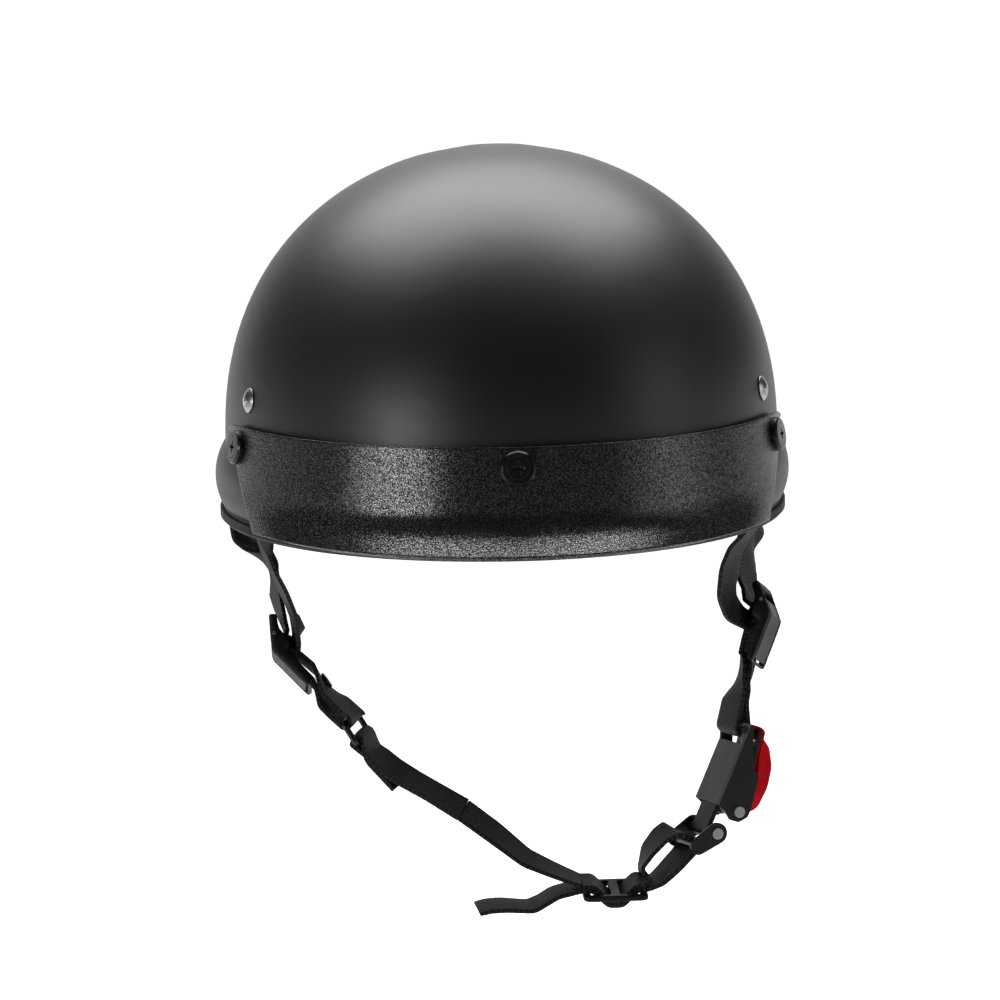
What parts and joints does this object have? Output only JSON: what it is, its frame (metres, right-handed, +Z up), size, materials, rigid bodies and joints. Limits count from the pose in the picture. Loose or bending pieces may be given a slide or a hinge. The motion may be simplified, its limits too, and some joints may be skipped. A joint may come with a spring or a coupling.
{
  "type": "half shell motorcycle helmet",
  "caption": "Half shell motorcycle helmet with a screwed-on visor, side strap dividers, wire ring, sliding strap adjuster and a quick release chin buckle.",
  "frame": {"origin": "middle of the head opening, level with the bottom of the shell", "axes": "+Z up to the crown, -Y to the front of the helmet, +X to the right of someone who faces the front"},
  "size_m": [0.235, 0.296, 0.3031],
  "materials": {
    "shell": "satin black lacquer",
    "foam": "moulded foam",
    "edging": "smooth",
    "visor": "fine pebbled black",
    "black_hardware": "black",
    "steel": "bright",
    "rivet": "polished",
    "padding": "soft cloth",
    "webbing": "woven",
    "moulding": "satin",
    "buckle_steel": "satin",
    "ribbon": "woven red ribbon"
  },
  "bodies": {
    "helmet": {"outer_shell": "shell", "eps_liner": "foam", "edge_trim": "edging", "visor": "visor", "cup_washers": "black_hardware", "visor_screws": "black_hardware", "t_nuts": "steel", "strap_rivets": "rivet", "rivet_washers": "steel", "crown_pad": "padding", "brow_pad": "padding", "nape_pad": "padding", "side_pad_left": "padding", "side_pad_right": "padding", "front_strap_left": "webbing", "rear_strap_left": "webbing", "front_strap_right": "webbing", "rear_strap_right": "webbing", "divider_left": "moulding", "divider_right": "moulding", "divider_pin_left": "steel", "divider_pin_right": "steel", "strap_snap": "moulding", "chin_strap": "webbing", "buckle_body": "buckle_steel", "buckle_bar": "buckle_steel", "lever_pin": "rivet", "lever_spring": "steel"},
    "ring": {"wire_ring": "steel"},
    "lever": {"release_lever": "buckle_steel", "pull_tab": "ribbon"},
    "tongue": {"tongue": "buckle_steel", "bracket_pin": "rivet", "tri_glide": "moulding", "strap_tail": "webbing", "chin_loop": "webbing"},
    "bracket": {"strap_bracket": "buckle_steel"},
    "flap_left": {"divider_flap_left": "moulding"},
    "flap_right": {"divider_flap_right": "moulding"}
  },
  "joints": [
    {"name": "ring_swing", "type": "hinge", "parent": "helmet", "child": "ring", "pos_m": [-0.06498, -0.04203, -0.0795], "axis": [-0.2054, -0.9787, -0.0041], "range_deg": [-15, 15], "deforming": ["chin_strap"]},
    {"name": "lever_release", "type": "hinge", "parent": "helmet", "child": "lever", "pos_m": [0.08725, -0.04638, -0.12018], "axis": [-0.2819, 0.9557, -0.0849], "range_deg": [0, 40], "stiffness_Nm_per_rad": 0.05, "springref_deg": -20.05},
    {"name": "tongue_release", "type": "slide", "parent": "helmet", "child": "tongue", "axis": [-0.41, -0.2, -0.8899], "range_m": [0, 0.022], "deforming": ["chin_strap"]},
    {"name": "bracket_swing", "type": "hinge", "parent": "tongue", "child": "bracket", "pos_m": [0.07751, -0.04994, -0.12781], "axis": [0.2819, -0.9557, 0.0849], "range_deg": [-12, 12], "deforming": ["chin_loop"]},
    {"name": "flap_left_open", "type": "hinge", "parent": "helmet", "child": "flap_left", "pos_m": [-0.09488, -0.02373, -0.04938], "axis": [-0.0149, 0.9397, -0.3416], "range_deg": [0, 75]},
    {"name": "flap_right_open", "type": "hinge", "parent": "helmet", "child": "flap_right", "pos_m": [0.10648, -0.02411, -0.04043], "axis": [-0.2839, -0.9041, 0.3193], "range_deg": [0, 75]}
  ]
}
